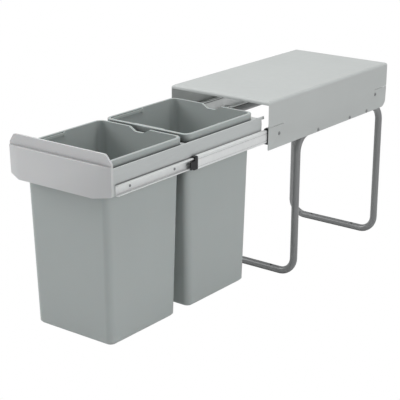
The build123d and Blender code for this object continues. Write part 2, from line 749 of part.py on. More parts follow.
def rail_rivet_places():
    """Places on Y of the rivets between the rails and the cross members."""
    front = front_cross_y + FRONT_CROSS_FLANGE / 2
    rear = (rear_bin_y + bin_rim_length / 2 + rear_cross_back_y) / 2
    return [front, middle_cross_y, rear]


def cross_member(points):
    """Folded bar between the rails, with a (y, z) section."""
    half = CROSS_SHEET / 2
    radii = [CROSS_BEND_RADIUS] * (len(points) - 2)
    bar = along_x(folded(points, radii, CROSS_SHEET), -cross_half, cross_half)
    for y in rail_rivet_places():
        hole = rivet_hole(rail_rivet_x, y, SMALL_RIVET_SHANK)
        right = along_z(hole, cross_top_z - 2 * CROSS_SHEET, cross_top_z + half)
        bar = bar - right - mirrored(right)
    return bar


def front_cross_member():
    """Channel behind the moulded front, with holes for its screws."""
    half = CROSS_SHEET / 2
    top, foot = cross_top_z - half, cross_top_z - FRONT_CROSS_HEIGHT + half
    web, edge = front_cross_y + half, front_cross_y + FRONT_CROSS_FLANGE
    bar = cross_member([(edge, top), (web, top), (web, foot), (edge, foot)])
    for x in fascia_screw_places():
        hole = rivet_hole(x, fascia_screw_z, FASCIA_SCREW_SHANK)
        bar -= along_y(hole, front_cross_y - CROSS_SHEET, front_cross_y + 2 * CROSS_SHEET)
    return bar


def middle_cross_member():
    """Upside-down channel in the gap between the bins."""
    half = CROSS_SHEET / 2
    top, foot = cross_top_z - half, cross_top_z - MIDDLE_CROSS_HEIGHT
    front = middle_cross_y - MIDDLE_CROSS_WIDTH / 2 + half
    back = middle_cross_y + MIDDLE_CROSS_WIDTH / 2 - half
    return cross_member([(front, foot), (front, top), (back, top), (back, foot)])


def rear_cross_member():
    """Wider bar that closes the drawer behind the rear bin."""
    half = CROSS_SHEET / 2
    top, foot = cross_top_z - half, cross_top_z - REAR_CROSS_HEIGHT
    front, back = rear_cross_front_y + half, rear_cross_back_y - half
    lip = cross_top_z - REAR_CROSS_LIP
    return cross_member([(front, lip), (front, top), (back, top), (back, foot)])


def rail_rivets():
    """Rivets down through the rails' ledges into the cross members."""
    body = rivet(SMALL_RIVET_HEAD, SMALL_RIVET_SHANK, RAIL_SHEET + CROSS_SHEET + 2 * RIVET_SEAT_GAP)
    return both_sides(
        Pos(rail_rivet_x, y, rail_ledge_z + RIVET_SEAT_GAP) * body for y in rail_rivet_places()
    )


# Moulded front

fascia_tip_y = fascia_rear_y - FASCIA_SIDE_DEPTH
fascia_face_top_y = fascia_tip_y - FASCIA_RAISE
fascia_face_bottom_y = fascia_face_top_y - FASCIA_FACE_LEAN
fascia_crease_y = fascia_face_top_y + FASCIA_LEDGE_DEPTH
fascia_lip_y = fascia_crease_y - FASCIA_LIP_LEAN
fascia_top_z = rail_top_z + FASCIA_ABOVE_RAIL
fascia_bottom_z = fascia_top_z - FASCIA_HEIGHT
fascia_ledge_z = fascia_top_z - FASCIA_LEDGE_DROP
fascia_screw_z = cross_top_z - FASCIA_SCREW_DROP


def fascia_screw_places():
    """Places on X of the screws into the moulded front."""
    return [side * spacing / 2 for spacing in FASCIA_SCREW_SPACINGS for side in (-1, 1)]


def fascia_outline(inset):
    """Front view of the moulded front, or of its inside."""
    half = FASCIA_WIDTH / 2
    right = [
        (FASCIA_FACE_BOTTOM_WIDTH / 2, fascia_bottom_z),
        (half, fascia_bottom_z + FASCIA_TIP_RISE),
        (half, fascia_top_z - FASCIA_SHOULDER_DROP),
        (FASCIA_SHOULDER_WIDTH / 2, fascia_top_z),
    ]
    left = [(-x, z) for x, z in reversed(right)]
    face = polygon(right + left)
    tops = face.vertices().group_by(Axis.Y)[-2:]
    face = fillet(tops[0] + tops[1], FASCIA_CORNER_RADIUS)
    face = fillet(face.vertices().group_by(Axis.Y)[1], FASCIA_TIP_RADIUS)
    return offset(face, -inset) if inset else face


def fascia_side_view(inset, rear_y):
    """Side view (y, z) of the moulded front, or of its inside."""
    foot_z = fascia_bottom_z - OVERRUN
    lean = FASCIA_FACE_LEAN * OVERRUN / (fascia_ledge_z - fascia_bottom_z)
    lip_rear_y = rear_y if inset else fascia_lip_y + FASCIA_LIP_DEPTH
    return polygon(
        [
            (rear_y, foot_z),
            (fascia_face_bottom_y - lean + inset, foot_z),
            (fascia_face_top_y + inset, fascia_ledge_z - inset),
            (fascia_crease_y + inset, fascia_ledge_z - inset),
            (fascia_lip_y + inset, fascia_top_z + OVERRUN),
            (lip_rear_y, fascia_top_z + OVERRUN),
            (rear_y, fascia_ledge_z),
        ]
    )


def fascia_wing_cut(inset):
    """Block outside the slanted plane of the right wing."""
    low = Vector(FASCIA_FACE_BOTTOM_WIDTH / 2, fascia_face_bottom_y, fascia_bottom_z)
    high = Vector(FASCIA_FACE_TOP_WIDTH / 2, fascia_face_top_y, fascia_ledge_z)
    middle_z = (fascia_bottom_z + fascia_ledge_z) / 2
    tip = Vector(FASCIA_WIDTH / 2, fascia_tip_y, middle_z)
    normal = (high - low).cross(tip - low).normalized()
    outward = normal if normal.Y < 0 else normal * -1
    plane = Plane(origin=low - outward * inset, z_dir=outward)
    return plane * Pos(0, 0, FASCIA_WIDTH / 2) * Box(2 * FASCIA_WIDTH, 2 * FASCIA_WIDTH, FASCIA_WIDTH)


def fascia_form(inset, rear_y):
    """The moulded front as a full block, or the space inside it."""
    half = FASCIA_WIDTH / 2
    form = along_x(fascia_side_view(inset, rear_y), -half, half)
    front_y = fascia_face_bottom_y - OVERRUN
    form &= along_y(fascia_outline(inset), front_y, rear_y)
    wing = fascia_wing_cut(inset)
    return form - wing - mirrored(wing)


def front_fascia():
    """Shell with a raised face, swept wings, a finger lip, ribs and bosses."""
    outer = fascia_form(0, fascia_rear_y)
    inside = fascia_form(FASCIA_WALL, fascia_rear_y + OVERRUN)
    shell = outer - inside
    bosses = []
    back_y = front_cross_y - RIVET_SEAT_GAP
    for x in fascia_screw_places():
        boss = Pos(x, fascia_screw_z) * flat_sided(FASCIA_BOSS_DIAMETER / 2, TUBE_SIDES)
        bosses.append(along_y(boss, fascia_face_top_y, back_y))
    ribs = []
    for i in (-1, 0, 1):
        x = i * FASCIA_RIB_PITCH * 2
        section = block(
            (x - FASCIA_RIB_SHEET / 2, fascia_bottom_z), (x + FASCIA_RIB_SHEET / 2, fascia_ledge_z)
        )
        rib_back = fascia_face_top_y + FASCIA_WALL + FASCIA_RIB_DEPTH
        ribs.append(along_y(section, fascia_face_bottom_y, rib_back))
    for piece in bosses + ribs:
        shell += piece & inside
    for x in fascia_screw_places():
        pilot = rivet_hole(x, fascia_screw_z, FASCIA_SCREW_SHANK)
        shell -= along_y(pilot, fascia_face_top_y + FASCIA_WALL, back_y + OVERRUN)
    return shell


def fascia_screws():
    """Screws through the front cross member into the bosses."""
    seat_y = front_cross_y + CROSS_SHEET + RIVET_SEAT_GAP
    screws = []
    head_section = flat_sided(FASCIA_SCREW_HEAD / 2, RIVET_SIDES)
    shank_section = flat_sided(FASCIA_SCREW_SHANK / 2, RIVET_SIDES)
    head = along_y(head_section, seat_y, seat_y + FASCIA_SCREW_HEAD_HEIGHT)
    screw = head + along_y(shank_section, seat_y - FASCIA_SCREW_GRIP, seat_y)
    for x in fascia_screw_places():
        screws.append(Pos(x, 0, fascia_screw_z) * screw)
    return screws


# Bins, both drawn at the front bin's place


def bin_size(z, inset):
    """Half width, front and back of the bin's body at a height."""
    share = (bin_top_z - z) / bin_height
    half = bin_rim_half - BIN_RIM_OVERHANG - BIN_SIDE_DRAFT * share - inset
    reach = bin_rim_length / 2 - BIN_RIM_OVERHANG - inset
    front = -reach + BIN_FRONT_DRAFT * share
    back = reach - BIN_REAR_DRAFT * share
    return half, front, back


def bin_block(y, inset, foot_z, top_z):
    """The bin's body as a tapered block, or the space inside it."""
    low_half, low_front, low_back = bin_size(foot_z, inset)
    high_half, high_front, high_back = bin_size(top_z, inset)
    across = polygon(
        [(-low_half, foot_z), (low_half, foot_z), (high_half, top_z), (-high_half, top_z)]
    )
    along = polygon(
        [
            (y + low_front, foot_z),
            (y + low_back, foot_z),
            (y + high_back, top_z),
            (y + high_front, top_z),
        ]
    )
    form = along_y(across, y + high_front, y + high_back) & along_x(along, -high_half, high_half)
    form = fillet(form.edges().sort_by(SortBy.LENGTH)[-4:], BIN_CORNER_RADIUS - inset)
    return chamfer(form.faces().sort_by(Axis.Z)[0].edges(), BIN_FOOT_BEVEL - inset / 2)


def bin_shell(y):
    """Tapered bin with a turned-down rim, a finger notch and two pin holes."""
    body = bin_block(y, 0, bin_bottom_z, bin_top_z)
    rim_foot_z = bin_top_z - BIN_RIM_SKIRT
    width = 2 * bin_rim_half
    rim = along_z(Pos(0, y) * RectangleRounded(width, bin_rim_length, BIN_RIM_RADIUS), rim_foot_z, bin_top_z)
    rim = chamfer(rim.faces().sort_by(Axis.Z)[-1].edges(), BIN_RIM_EDGE)
    under = RectangleRounded(
        width - 2 * BIN_RIM_SHEET, bin_rim_length - 2 * BIN_RIM_SHEET, BIN_RIM_RADIUS - BIN_RIM_SHEET
    )
    rim -= along_z(Pos(0, y) * under, rim_foot_z - OVERRUN, bin_top_z - BIN_RIM_SHEET)
    inside = bin_block(y, BIN_WALL, bin_bottom_z + BIN_WALL, bin_top_z + OVERRUN)
    shell = body + rim + notch_lining(y) - inside
    half, front, back = bin_size(bin_bottom_z, BIN_FOOT_MARGIN)
    foot = Pos(0, y + (front + back) / 2) * RectangleRounded(2 * half, back - front, BIN_FOOT_RADIUS)
    shell -= along_z(foot, bin_bottom_z - OVERRUN, bin_bottom_z + BIN_FOOT_RECESS)
    shell -= finger_notch(y)
    section = Pos(y, bail_z) * flat_sided(BAIL_PIN_DIAMETER / 2 + BAIL_PIN_CLEARANCE, BAIL_PIN_SIDES)
    reach = bin_rim_half - BIN_RIM_SHEET
    pin_hole = along_x(section, reach - 2 * OVERRUN, reach)
    return shell - pin_hole - mirrored(pin_hole)


def notch_face():
    """Front view of the dip in the rim."""
    top = bin_top_z + OVERRUN
    slope = (NOTCH_WIDTH - NOTCH_FLOOR) / 2 * OVERRUN / NOTCH_DEPTH
    floor_z = bin_top_z - NOTCH_DEPTH
    face = polygon(
        [
            (-NOTCH_WIDTH / 2 - slope, top),
            (-NOTCH_FLOOR / 2, floor_z),
            (NOTCH_FLOOR / 2, floor_z),
            (NOTCH_WIDTH / 2 + slope, top),
        ]
    )
    return fillet(face.vertices().group_by(Axis.Y)[0], NOTCH_RADIUS)


def finger_notch(y):
    """Cut for the dip in the back of the rim."""
    back = bin_size(bin_top_z, BIN_WALL)[2]
    return along_y(notch_face(), y + back - OVERRUN, y + bin_rim_length / 2 + OVERRUN)


def notch_lining(y):
    """Rim sheet that follows the dip, from the bin's wall to the rim's skirt."""
    back = bin_size(bin_top_z, BIN_WALL)[2]
    under = block((-NOTCH_WIDTH, bin_top_z - BIN_RIM_SKIRT), (NOTCH_WIDTH, bin_top_z))
    lining = offset(notch_face(), BIN_RIM_SHEET) & under
    return along_y(lining, y + back, y + bin_rim_length / 2 - BIN_RIM_EDGE)


def bail(y):
    """Handle that lies forward inside the rim, with an eye and a pin at each end."""
    half = bin_size(bail_z - BAIL_EYE / 2, BIN_WALL)[0] - BAIL_GAP
    reach = -bin_size(bail_z, BIN_WALL)[1] - BAIL_END_GAP
    outer = RectangleRounded(2 * half, 2 * reach, BAIL_RADIUS)
    inner = RectangleRounded(2 * half - 2 * BAIL_SHEET, 2 * reach - 2 * BAIL_SHEET, BAIL_RADIUS - BAIL_SHEET)
    loop = (outer - inner) & (Pos(0, -reach / 2) * Rectangle(2 * half, reach))
    low, high = bail_z - BAIL_HEIGHT / 2, bail_z + BAIL_HEIGHT / 2
    handle = along_z(Pos(0, y) * loop, low, high)
    grip = Pos(0, y - reach + BAIL_GRIP_DEPTH / 2) * Rectangle(BAIL_GRIP_LENGTH, BAIL_GRIP_DEPTH)
    grip = chamfer(grip.vertices(), BAIL_GRIP_RADIUS)
    handle += along_z(grip, low, high)
    eye_section = Pos(y, bail_z) * flat_sided(BAIL_EYE / 2, TUBE_SIDES)
    eye = along_x(eye_section, half - BAIL_SHEET, half)
    pin_section = Pos(y, bail_z) * RegularPolygon(BAIL_PIN_DIAMETER / 2, BAIL_PIN_SIDES)
    pin = along_x(pin_section, half - BAIL_SHEET / 2, half + BAIL_PIN_LENGTH)
    for piece in (eye, pin, mirrored(eye), mirrored(pin)):
        handle += piece
    return handle


# Every node by name, with its solid or solids


def build_nodes():
    nodes = {
        "front_leg_hoop": [leg_hoop(-1)],
        "rear_leg_hoop": [leg_hoop(1)],
        "leg_joint_sleeves": leg_joint_sleeves(),
        "cover_hood": [cover_hood()],
        "cover_rivets": cover_rivets(),
        "cabinet_member_rivets": cabinet_member_rivets(),
        "slide_front_guides": slide_front_guides(),
        "slide_end_bumpers": slide_end_bumpers(),
        "drawer_member_rivets": drawer_member_rivets(),
        "front_cross_member": [front_cross_member()],
        "middle_cross_member": [middle_cross_member()],
        "rear_cross_member": [rear_cross_member()],
        "rail_rivets": rail_rivets(),
        "front_fascia": [front_fascia()],
        "fascia_screws": fascia_screws(),
        "front_bin": [bin_shell(front_bin_y)],
        "rear_bin": [bin_shell(rear_bin_y)],
        "front_bail": [bail(front_bin_y)],
        "rear_bail": [bail(rear_bin_y)],
    }
    right_side = {
        "cabinet_member": [cabinet_member()],
        "middle_member": [middle_member()],
        "middle_end_cap": [middle_end_cap()],
        "drawer_member": [drawer_member()],
        "outer_ball_cage": [outer_cage()],
        "outer_balls": outer_balls(),
        "inner_ball_cage": [inner_cage()],
        "inner_balls": inner_balls(),
        "side_rail": [side_rail()],
    }
    for name, parts in right_side.items():
        nodes["right_" + name] = parts
        nodes["left_" + name] = [mirrored(part) for part in parts]
    return nodes


def main():
    os.makedirs("parts", exist_ok=True)
    for name, parts in build_nodes().items():
        solids = [solid for part in parts for solid in part.solids()]
        shape = solids[0] if len(solids) == 1 else Compound(children=solids)
        export_step(shape, f"parts/{name}.step")


main()
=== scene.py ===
import bpy
import bmesh
import json
import math
from mathutils import Matrix, Vector


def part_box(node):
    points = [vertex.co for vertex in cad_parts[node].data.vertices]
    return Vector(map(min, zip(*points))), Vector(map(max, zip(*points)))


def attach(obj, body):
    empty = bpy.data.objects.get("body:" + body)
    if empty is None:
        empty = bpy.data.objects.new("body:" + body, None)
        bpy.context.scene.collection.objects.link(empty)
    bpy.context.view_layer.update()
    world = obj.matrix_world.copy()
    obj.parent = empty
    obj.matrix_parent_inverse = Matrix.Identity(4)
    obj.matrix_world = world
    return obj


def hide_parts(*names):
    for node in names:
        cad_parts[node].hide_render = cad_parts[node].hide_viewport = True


# A pull-out bin frame drawn open, in the photograph's view. Metres, in the CAD's frame.

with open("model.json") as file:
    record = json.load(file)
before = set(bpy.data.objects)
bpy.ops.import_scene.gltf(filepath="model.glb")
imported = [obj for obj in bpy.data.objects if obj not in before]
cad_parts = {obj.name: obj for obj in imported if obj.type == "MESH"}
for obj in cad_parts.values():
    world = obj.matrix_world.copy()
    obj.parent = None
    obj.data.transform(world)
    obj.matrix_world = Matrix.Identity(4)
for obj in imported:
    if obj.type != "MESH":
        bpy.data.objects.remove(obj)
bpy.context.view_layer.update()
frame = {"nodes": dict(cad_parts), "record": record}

# Camera, fitted to the photograph's corners of the bins, the cover and the moulded front.
# Its angles are in degrees.
IMAGE_SIZE = 400
SENSOR_WIDTH = 36.0
CAMERA_FOCAL_PIXELS = 1237.8
CAMERA_PLACE = (1.4680, -2.3115, 1.0135)
CAMERA_AZIMUTH = 36.988
CAMERA_ELEVATION = 18.387
CAMERA_ROLL = 0.317
CAMERA_NEAR = 0.05
CAMERA_FAR = 50

# Tube of the leg hoops
TUBE_RADIUS = 0.008
TUBE_WALL = 0.0015
FLOOR_BEND = 0.036
SHOULDER_BEND = 0.038
HOOP_GAP = 0.0002
BEND_STEPS = 16
RING_STEPS = 40
RUN_STEP = 0.03
SCREW_HOLE_RADIUS = 0.00275
SCREW_SINK_RADIUS = 0.0050
SCREW_SPACING = 0.114
HOLE_STEPS = 32

# Rivets: a domed head on a shank, with a pit in its middle. Shares are of the head's
# radius or height.
RIVET_HEAD_HEIGHT = 0.0012
RIVET_RIM_SHARE = 0.35
RIVET_DOME_POWER = 0.8
RIVET_DOME_STEPS = 6
RIVET_SHANK_SHARE = 0.5
RIVET_PIT_SHARE = 0.34
RIVET_PIT_EDGE_SHARE = 0.3
RIVET_PIT_FLOOR_SHARE = 0.2
LATHE_STEPS = 28

# Balls of the slides
BALL_RADIUS = 0.001
BALL_SUBDIVISIONS = 3

# Smooth shading up to an angle between faces, in degrees
SMOOTH_ANGLE = 32.0
RIVET_SMOOTH_ANGLE = 40.0
BALL_SMOOTH_ANGLE = 60.0

# Fine edge radii, on edges sharper than an angle in degrees
BEVEL_ANGLE = 24.0
BEVEL_STEPS = 3

WELD_DISTANCE = 1e-6

# How far away a surface still counts as the other side of a gap, for the painted shade in
# gaps
GAP_REACH = 0.010
SLIDE_REACH = 0.005
BIN_REACH = 0.032
GAP_SAMPLES = 8

# How open a gap is where its painted shade is darkest, and where it has none
GAP_CLOSED, GAP_OPEN = 0.20, 0.80

# How sharp an edge is where its wear starts, and where it is full
WEAR_START, WEAR_FULL = 0.52, 0.62

# Noise in the materials, in features per metre
COAT_CLOUD = 9.0
COAT_SPECK = 1400.0
COAT_GLOSS = 60.0
COAT_PEEL = 420.0
COAT_GRAIN = 1900.0
PLASTIC_FLOW = 3.0
PLASTIC_DUST = 2600.0
PLASTIC_GLOSS = 45.0
PLASTIC_GRAIN = 2200.0
PLASTIC_WAVE = 24.0
ZINC_BLOOM = 70.0
ZINC_LINES_ALONG = 8.0
ZINC_LINES_ACROSS = 900.0
GREASE_FILM = 500.0
STAGE_CLOUD = 6.0

# Tones of the floor, as linear colours
STAGE_DARK = (0.80, 0.80, 0.80)
STAGE_LIGHT = (0.84, 0.84, 0.84)

# Colour sockets of a mix node
MIX_FIRST, MIX_SECOND, MIX_RESULT = 6, 7, 2


def box_of(name):
    low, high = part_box(name)
    return Vector(low), Vector(high)


# Materials


class Nodes:
    """Short way to write a material's nodes."""

    def __init__(self, name):
        self.material = bpy.data.materials.new(name)
        self.material.use_nodes = True
        self.tree = self.material.node_tree
        self.shader = self.tree.nodes["Principled BSDF"]
        self.where = self.add("ShaderNodeTexCoord").outputs["Object"]

    def add(self, kind, **values):
        node = self.tree.nodes.new(kind)
        for key, value in values.items():
            setattr(node, key, value)
        return node

    def join(self, source, target):
        self.tree.links.new(source, target)

    def set(self, **values):
        for key, value in values.items():
            self.shader.inputs[key.replace("_", " ")].default_value = value

    def stretched(self, scale):
        """Object coordinates stretched by a scale on each axis."""
        node = self.add("ShaderNodeMapping")
        self.join(self.where, node.inputs["Vector"])
        node.inputs["Scale"].default_value = scale
        return node.outputs["Vector"]

    def noise(self, scale, detail=3.0, rough=0.55, vector=None):
        node = self.add("ShaderNodeTexNoise")
        self.join(vector or self.where, node.inputs["Vector"])
        node.inputs["Scale"].default_value = scale
        node.inputs["Detail"].default_value = detail
        node.inputs["Roughness"].default_value = rough
        return node.outputs["Fac"]

    def levels(self, source, low, high, start=0.3, end=0.7):
        """Maps a value from start..end to low..high."""
        node = self.add("ShaderNodeMapRange")
        self.join(source, node.inputs["Value"])
        limits = {"From Min": start, "From Max": end, "To Min": low, "To Max": high}
        for key, value in limits.items():
            node.inputs[key].default_value = value
        return node.outputs["Result"]

    def give(self, value, socket):
        """Joins another node's output to a socket, or sets a plain number or colour."""
        if isinstance(value, bpy.types.NodeSocket):
            self.join(value, socket)
        elif isinstance(value, tuple):
            socket.default_value = (*value, 1.0)
        else:
            socket.default_value = value

    def mixed(self, factor, first, second, blend="MIX"):
        """Colour between two, by a factor."""
        node = self.add("ShaderNodeMix", data_type="RGBA", blend_type=blend)
        self.give(factor, node.inputs["Factor"])
        self.give(first, node.inputs[MIX_FIRST])
        self.give(second, node.inputs[MIX_SECOND])
        return node.outputs[MIX_RESULT]

    def bump(self, height, strength, distance, below=None):
        node = self.add("ShaderNodeBump")
        self.join(height, node.inputs["Height"])
        node.inputs["Strength"].default_value = strength
        node.inputs["Distance"].default_value = distance
        if below is not None:
            self.join(below, node.inputs["Normal"])
        return node.outputs["Normal"]

    def edge_wear(self, strength):
        """How sharp the surface is at a point, for light edges."""
        node = self.add("ShaderNodeNewGeometry")
        return self.levels(node.outputs["Pointiness"], 0.0, strength, WEAR_START, WEAR_FULL)

    def gap_shaded(self, colour, darkest, reach=GAP_REACH):
        """Colour with painted shade: darker in seams and narrow gaps."""
        node = self.add("ShaderNodeAmbientOcclusion", samples=GAP_SAMPLES)
        node.inputs["Distance"].default_value = reach
        unshaded = self.levels(node.outputs["AO"], darkest, 1.0, GAP_CLOSED, GAP_OPEN)
        return self.mixed(1.0, colour, unshaded, "MULTIPLY")


def linear(grey):
    """Linear value of an sRGB grey from 0 to 255, or of three of them."""
    if isinstance(grey, tuple):
        return tuple(linear(value) for value in grey)
    share = grey / 255
    return share / 12.92 if share <= 0.04045 else ((share + 0.055) / 1.055) ** 2.4


def scaled(colour, factor, lift=0.0):
    """A linear colour made lighter or darker, and lifted."""
    return tuple(min(1.0, value * factor + lift) for value in colour)


def powder_coat(name, colour, roughness, gloss=0.42, relief=1.0):
    """Baked powder paint: fine orange peel, faint mottling, paler worn edges, and painted
    shade in its gaps.

    Relief says how strong its unevenness is.
    """
    nodes = Nodes(name)
    base = linear(colour)
    cloud = nodes.levels(nodes.noise(COAT_CLOUD, 4.0), 0.0, 1.0)
    mottled = nodes.mixed(cloud, scaled(base, 0.965), scaled(base, 1.03))
    speck = nodes.levels(nodes.noise(COAT_SPECK, 2.0), 0.0, 1.0, 0.35, 0.75)
    specked = nodes.mixed(speck, scaled(base, 0.97), base)
    coat = nodes.mixed(0.5, mottled, specked)
    worn = nodes.mixed(nodes.edge_wear(0.25 * relief), coat, scaled(base, 1.3))
    # Painted shade: the colour darkens where other surfaces are near.
    nodes.join(nodes.gap_shaded(worn, 0.30), nodes.shader.inputs["Base Color"])
    spread = 0.045 * relief
    rough = nodes.levels(nodes.noise(COAT_GLOSS, 3.0), roughness - spread, roughness + spread)
    nodes.join(rough, nodes.shader.inputs["Roughness"])
    peel = nodes.bump(nodes.noise(COAT_PEEL, 2.0), 0.10 * relief, 0.0004)
    grain = nodes.bump(nodes.noise(COAT_GRAIN, 1.0), 0.05 * relief, 0.0002, peel)
    nodes.join(grain, nodes.shader.inputs["Normal"])
    nodes.set(Specular_IOR_Level=gloss)
    return nodes.material


def moulded_plastic(name, colour, roughness, grain, flow=0.02, reach=GAP_REACH, darkest=0.35):
    """Injection moulded plastic: spark-eroded grain, faint flow lines, dust, and painted
    shade in its gaps.
    """
    nodes = Nodes(name)
    base = linear(colour)
    streaks = nodes.noise(PLASTIC_FLOW, 4.0, 0.5, nodes.stretched((1.0, 1.0, 0.18)))
    streaked = nodes.levels(streaks, 0.0, 1.0)
    tone = nodes.mixed(streaked, scaled(base, 1 - flow), scaled(base, 1 + flow))
    dust = nodes.levels(nodes.noise(PLASTIC_DUST, 2.0, 0.7), 0.0, 0.10, 0.62, 0.80)
    dusty = nodes.mixed(dust, tone, scaled(base, 1.25, 0.02))
    # Painted shade: the colour darkens where other surfaces are near.
    nodes.join(nodes.gap_shaded(dusty, darkest, reach), nodes.shader.inputs["Base Color"])
    rough = nodes.levels(nodes.noise(PLASTIC_GLOSS, 3.0), roughness - 0.05, roughness + 0.05)
    nodes.join(rough, nodes.shader.inputs["Roughness"])
    fine = nodes.bump(nodes.noise(PLASTIC_GRAIN, 2.0, 0.7), grain, 0.00025)
    wave = nodes.bump(nodes.noise(PLASTIC_WAVE, 2.0), 0.06, 0.0012, fine)
    nodes.join(wave, nodes.shader.inputs["Normal"])
    nodes.set(Specular_IOR_Level=0.4, Subsurface_Weight=0.04, Subsurface_Scale=0.004)
    return nodes.material


def zinc_plate(name, colour, roughness, along="Y"):
    """Bright zinc on cold rolled sheet: rolling lines, faint cloudy bloom, and painted shade
    in its gaps.
    """
    nodes = Nodes(name)
    base = linear(colour)
    bloom = nodes.levels(nodes.noise(ZINC_BLOOM, 5.0, 0.65), 0.0, 1.0)
    tone = nodes.mixed(bloom, scaled(base, 0.96), scaled(base, 1.02))
    # Painted shade: the colour darkens where other surfaces are near.
    nodes.join(nodes.gap_shaded(tone, 0.18, SLIDE_REACH), nodes.shader.inputs["Base Color"])
    stretch = [ZINC_LINES_ACROSS] * 3
    stretch["XYZ".index(along)] = ZINC_LINES_ALONG
    lines = nodes.noise(1.0, 3.0, 0.6, nodes.stretched(stretch))
    rough = nodes.levels(lines, roughness - 0.06, roughness + 0.10)
    nodes.join(rough, nodes.shader.inputs["Roughness"])
    nodes.join(nodes.bump(lines, 0.12, 0.0001), nodes.shader.inputs["Normal"])
    nodes.set(Metallic=0.2, Specular_IOR_Level=0.5)
    return nodes.material


def polished_steel(name):
    """Hardened bearing balls under a thin film of grease."""
    nodes = Nodes(name)
    film = nodes.levels(nodes.noise(GREASE_FILM, 2.0), 0.10, 0.26)
    nodes.join(film, nodes.shader.inputs["Roughness"])
    nodes.give(linear((214, 214, 210)), nodes.shader.inputs["Base Color"])
    nodes.set(Metallic=1.0)
    return nodes.material


# Every material here but the balls darkens in its gaps with painted shade; the bin's reaches
# farthest and goes darkest.
COVER = powder_coat("cover_paint", (198, 201, 199), 0.46)
RAIL = powder_coat("rail_paint", (200, 203, 202), 0.44)
TUBE = powder_coat("grey_tube", (135, 136, 136), 0.30, 0.9, 0.12)
ZINC = zinc_plate("zinc_steel", (246, 247, 246), 0.34)
ZINC_ACROSS = zinc_plate("zinc_steel_across", (222, 224, 222), 0.36, "X")
# The rivets' darker grey than the sheet zinc is painted shade, so that they read as dark
# dots.
RIVET = zinc_plate("zinc_rivets", (158, 160, 160), 0.30)
BALLS = polished_steel("ball_steel")
BLACK = moulded_plastic("black_plastic", (38, 38, 40), 0.45, 0.20)
FASCIA = moulded_plastic("fascia_plastic", (216, 216, 216), 0.44, 0.22, darkest=0.60)
BIN = moulded_plastic("bin_plastic", (182, 188, 186), 0.44, 0.18, 0.03, BIN_REACH, 0.10)
BAIL = moulded_plastic("bail_plastic", (188, 194, 191), 0.40, 0.15)

MATERIALS = {
    "cover_paint": COVER,
    "rail_paint": RAIL,
    "grey_tube": TUBE,
    "zinc_steel": ZINC,
    "ball_steel": BALLS,
    "black_plastic": BLACK,
    "fascia_plastic": FASCIA,
    "bin_plastic": BIN,
    "bail_plastic": BAIL,
}


# Mesh helpers


def mesh_piece(name, build, material, body, smooth=SMOOTH_ANGLE):
    """A new piece from a function that fills a bmesh."""
    mesh = bpy.data.meshes.new(name)
    bm = bmesh.new()
    build(bm)
    bmesh.ops.recalc_face_normals(bm, faces=bm.faces)
    bm.to_mesh(mesh)
    bm.free()
    mesh.materials.append(material)
    piece = bpy.data.objects.new(name, mesh)
    bpy.context.scene.collection.objects.link(piece)
    mesh.shade_smooth()
    mesh.set_sharp_from_angle(angle=math.radians(smooth))
    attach(piece, body)
    return piece


def smooth_group():
    """Node group that shades a CAD mesh smooth up to an angle."""
    group = bpy.data.node_groups.new("smooth_by_angle", "GeometryNodeTree")
    group.interface.new_socket("Geometry", in_out="INPUT", socket_type="NodeSocketGeometry")
    group.interface.new_socket("Geometry", in_out="OUTPUT", socket_type="NodeSocketGeometry")
    start, end = group.nodes.new("NodeGroupInput"), group.nodes.new("NodeGroupOutput")
    angle = group.nodes.new("GeometryNodeInputMeshEdgeAngle")
    sharp = group.nodes.new("FunctionNodeCompare")
    sharp.operation = "LESS_EQUAL"
    sharp.inputs[1].default_value = math.radians(SMOOTH_ANGLE)
    faces = group.nodes.new("GeometryNodeSetShadeSmooth")
    edges = group.nodes.new("GeometryNodeSetShadeSmooth")
    edges.domain = "EDGE"
    links = group.links
    links.new(start.outputs[0], faces.inputs["Geometry"])
    links.new(faces.outputs[0], edges.inputs["Geometry"])
    links.new(angle.outputs["Unsigned Angle"], sharp.inputs[0])
    links.new(sharp.outputs[0], edges.inputs["Shade Smooth"])
    links.new(edges.outputs[0], end.inputs[0])
    return group


SMOOTH = smooth_group()


def finish_node(name, material, bevel=0.0):
    """Gives a CAD node its material, a fine edge radius and smooth shading."""
    node = frame["nodes"][name]
    if not node.material_slots:
        node.data.materials.append(material)
    for slot in node.material_slots:
        slot.link = "OBJECT"
        slot.material = material
    soften(node, bevel)


def soften(piece, bevel):
    """Fine edge radius and smooth shading."""
    if bevel:
        edge = piece.modifiers.new("edge_radius", "BEVEL")
        edge.width = bevel
        edge.segments = BEVEL_STEPS
        edge.limit_method = "ANGLE"
        edge.angle_limit = math.radians(BEVEL_ANGLE)
        edge.use_clamp_overlap = True
    shade = piece.modifiers.new("smooth", "NODES")
    shade.node_group = SMOOTH


# Leg hoops


def arc_points(before, corner, after, radius, steps):
    """Points of a round bend at a corner, from its start to its end."""
    inward, outward = (before - corner).normalized(), (after - corner).normalized()
    start = corner + inward * radius
    centre = start + outward * radius
    points = []
    for i in range(steps + 1):
        turn = math.pi / 2 * i / steps
        spoke = outward * radius * math.cos(turn) + inward * radius * math.sin(turn)
        points.append(centre - spoke)
    return points


def split_run(start, end):
    """Even points between two, without the two."""
    count = max(1, round((end - start).length / RUN_STEP))
    return [start.lerp(end, i / count) for i in range(1, count)]


